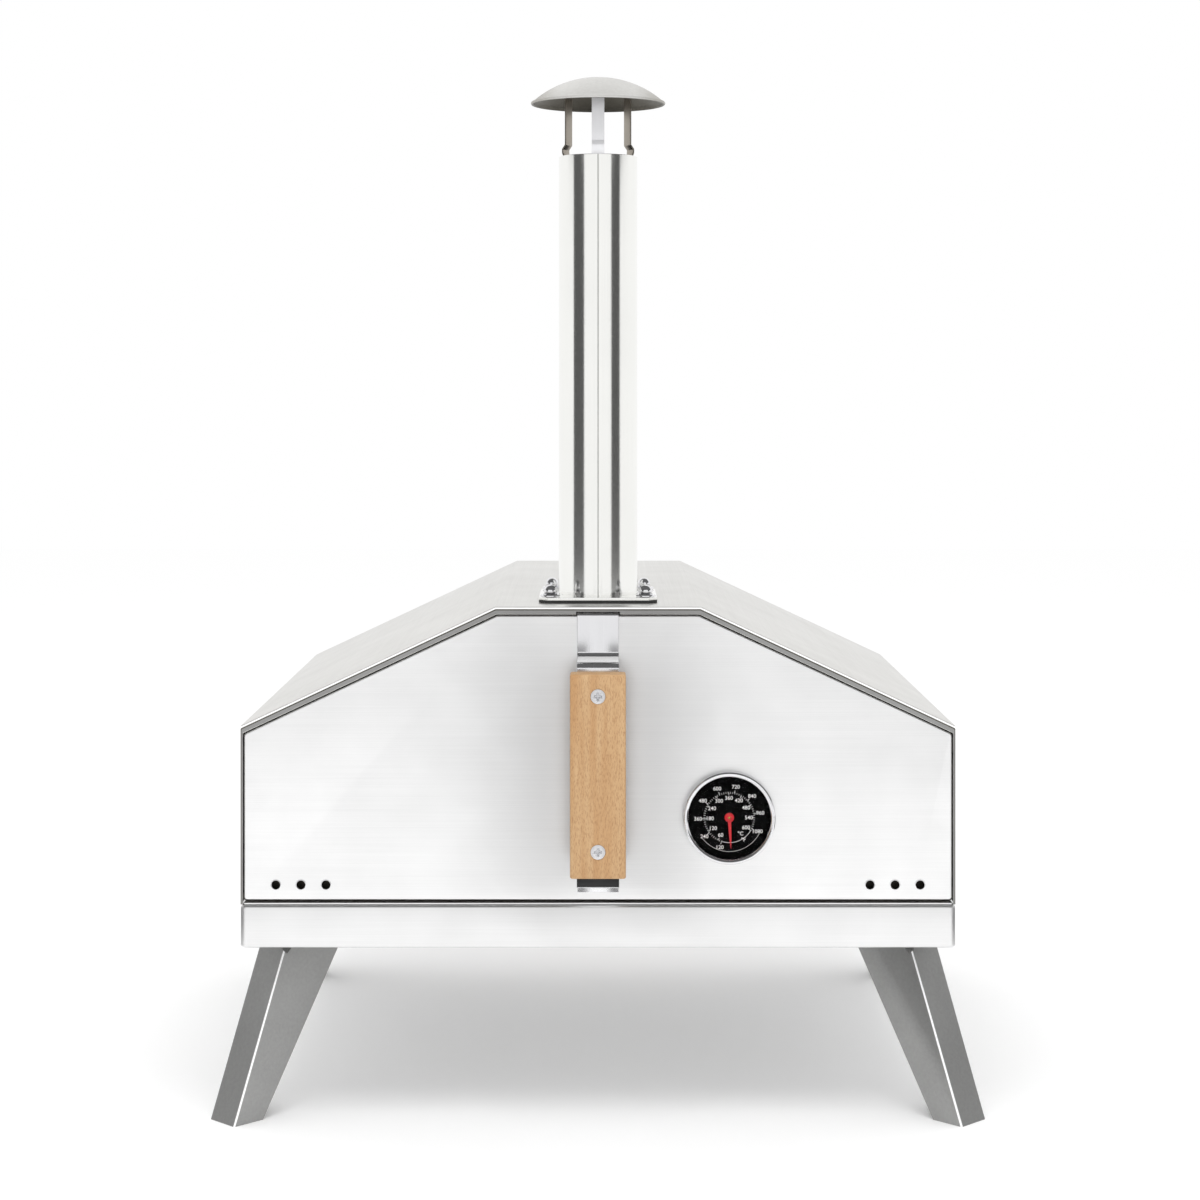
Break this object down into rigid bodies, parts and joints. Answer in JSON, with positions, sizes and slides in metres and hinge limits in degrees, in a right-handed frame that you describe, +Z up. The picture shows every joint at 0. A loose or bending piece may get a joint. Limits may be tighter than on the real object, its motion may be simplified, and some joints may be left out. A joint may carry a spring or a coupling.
{
  "type": "wood fired pizza oven",
  "caption": "Stainless steel table-top pizza oven with a lift-off door, wooden handle, dial thermometer, chimney with rain cap, rear fuel drawer and splayed folding legs.",
  "frame": {"origin": "on the ground below the middle of the oven", "axes": "+X to the oven's right as seen from the door, +Y from the door to the fuel drawer, +Z up"},
  "size_m": [0.5546, 0.565, 0.739],
  "materials": {
    "brushed_steel": "fine horizontal brush",
    "roof_steel": "fine brush, slightly duller",
    "satin_steel": "satin",
    "polished_steel": "bright, long brush",
    "leg_steel": "satin grey",
    "liner_steel": "mill finish",
    "zinc_steel": "zinc plated",
    "fibre": "matte ceramic fibre felt",
    "gasket": "woven graphite tape",
    "stone": "matte cordierite",
    "beech": "oiled beech",
    "dial_black": "matte black with white marks",
    "needle_red": "satin red",
    "dial_glass": "clear flat glass",
    "knob_black": "matte bakelite"
  },
  "bodies": {
    "oven": {"base_tray": "brushed_steel", "base_insulation": "fibre", "outer_shell": "roof_steel", "shell_insulation": "fibre", "chamber_floor": "liner_steel", "inner_liner": "liner_steel", "mouth_frame": "liner_steel", "rear_panel": "brushed_steel", "stone_rail_left": "liner_steel", "stone_rail_right": "liner_steel", "flame_baffle": "liner_steel", "flue_gasket": "gasket", "flue_flange": "polished_steel", "flue_pipe": "polished_steel", "flange_screw_front_left": "zinc_steel", "flange_screw_rear_left": "zinc_steel", "flange_screw_front_right": "zinc_steel", "flange_screw_rear_right": "zinc_steel", "dome_nut_front_left": "polished_steel", "dome_nut_rear_left": "polished_steel", "dome_nut_front_right": "polished_steel", "dome_nut_rear_right": "polished_steel", "hatch_leaf": "brushed_steel", "hatch_pin": "zinc_steel", "leg_bracket_front_left": "zinc_steel", "leg_bracket_rear_left": "zinc_steel", "leg_bracket_front_right": "zinc_steel", "leg_bracket_rear_right": "zinc_steel", "leg_bolt_front_left": "zinc_steel", "leg_bolt_rear_left": "zinc_steel", "leg_bolt_front_right": "zinc_steel", "leg_bolt_rear_right": "zinc_steel"},
    "stone": {"pizza_stone": "stone"},
    "cap": {"rain_cap": "satin_steel", "cap_strap_front": "satin_steel", "cap_strap_rear_left": "satin_steel", "cap_strap_rear_right": "satin_steel"},
    "door": {"door_panel": "brushed_steel", "handle_strap": "polished_steel", "handle_grip": "beech", "handle_screw_lower": "zinc_steel", "handle_screw_upper": "zinc_steel", "thermo_case": "brushed_steel", "thermo_bezel": "polished_steel", "thermo_glass": "dial_glass", "thermo_dial": "dial_black", "thermo_nut": "zinc_steel"},
    "needle": {"thermo_needle": "needle_red"},
    "drawer": {"fuel_drawer": "brushed_steel", "fuel_grate": "liner_steel", "drawer_strap": "polished_steel", "drawer_grip": "beech", "drawer_screw_left": "zinc_steel", "drawer_screw_right": "zinc_steel"},
    "hatch": {"fuel_hatch": "brushed_steel", "hatch_knob": "knob_black"},
    "leg_front_left": {"leg_front_left": "leg_steel"},
    "leg_rear_left": {"leg_rear_left": "leg_steel"},
    "leg_front_right": {"leg_front_right": "leg_steel"},
    "leg_rear_right": {"leg_rear_right": "leg_steel"}
  },
  "joints": [
    {"name": "door_pull", "type": "slide", "parent": "oven", "child": "door", "axis": [0, -1, 0], "range_m": [0, 0.12]},
    {"name": "needle_turn", "type": "hinge", "parent": "door", "child": "needle", "pos_m": [0.0915, -0.232, 0.2146], "axis": [0, 1, 0], "range_deg": [0, 293]},
    {"name": "cap_pull", "type": "slide", "parent": "oven", "child": "cap", "axis": [0, 0, 1], "range_m": [0, 0.05]},
    {"name": "stone_lift", "type": "slide", "parent": "oven", "child": "stone", "axis": [0, 0, 1], "range_m": [0, 0.02]},
    {"name": "drawer_slide", "type": "slide", "parent": "oven", "child": "drawer", "axis": [0, 1, 0], "range_m": [0, 0.1]},
    {"name": "hatch_swing", "type": "hinge", "parent": "oven", "child": "hatch", "pos_m": [0, 0.2363, 0.2996], "axis": [1, 0, 0], "range_deg": [0, 100]},
    {"name": "leg_fold_front_left", "type": "hinge", "parent": "oven", "child": "leg_front_left", "pos_m": [-0.1979, -0.1649, 0.137], "axis": [0.7071, -0.7071, 0], "range_deg": [0, 110]},
    {"name": "leg_fold_rear_left", "type": "hinge", "parent": "oven", "child": "leg_rear_left", "pos_m": [-0.2024, 0.1649, 0.137], "axis": [-0.7071, -0.7071, 0], "range_deg": [0, 110]},
    {"name": "leg_fold_front_right", "type": "hinge", "parent": "oven", "child": "leg_front_right", "pos_m": [0.1979, -0.1649, 0.137], "axis": [0.7071, 0.7071, 0], "range_deg": [0, 110]},
    {"name": "leg_fold_rear_right", "type": "hinge", "parent": "oven", "child": "leg_rear_right", "pos_m": [0.2024, 0.1649, 0.137], "axis": [-0.7071, 0.7071, 0], "range_deg": [0, 110]}
  ]
}
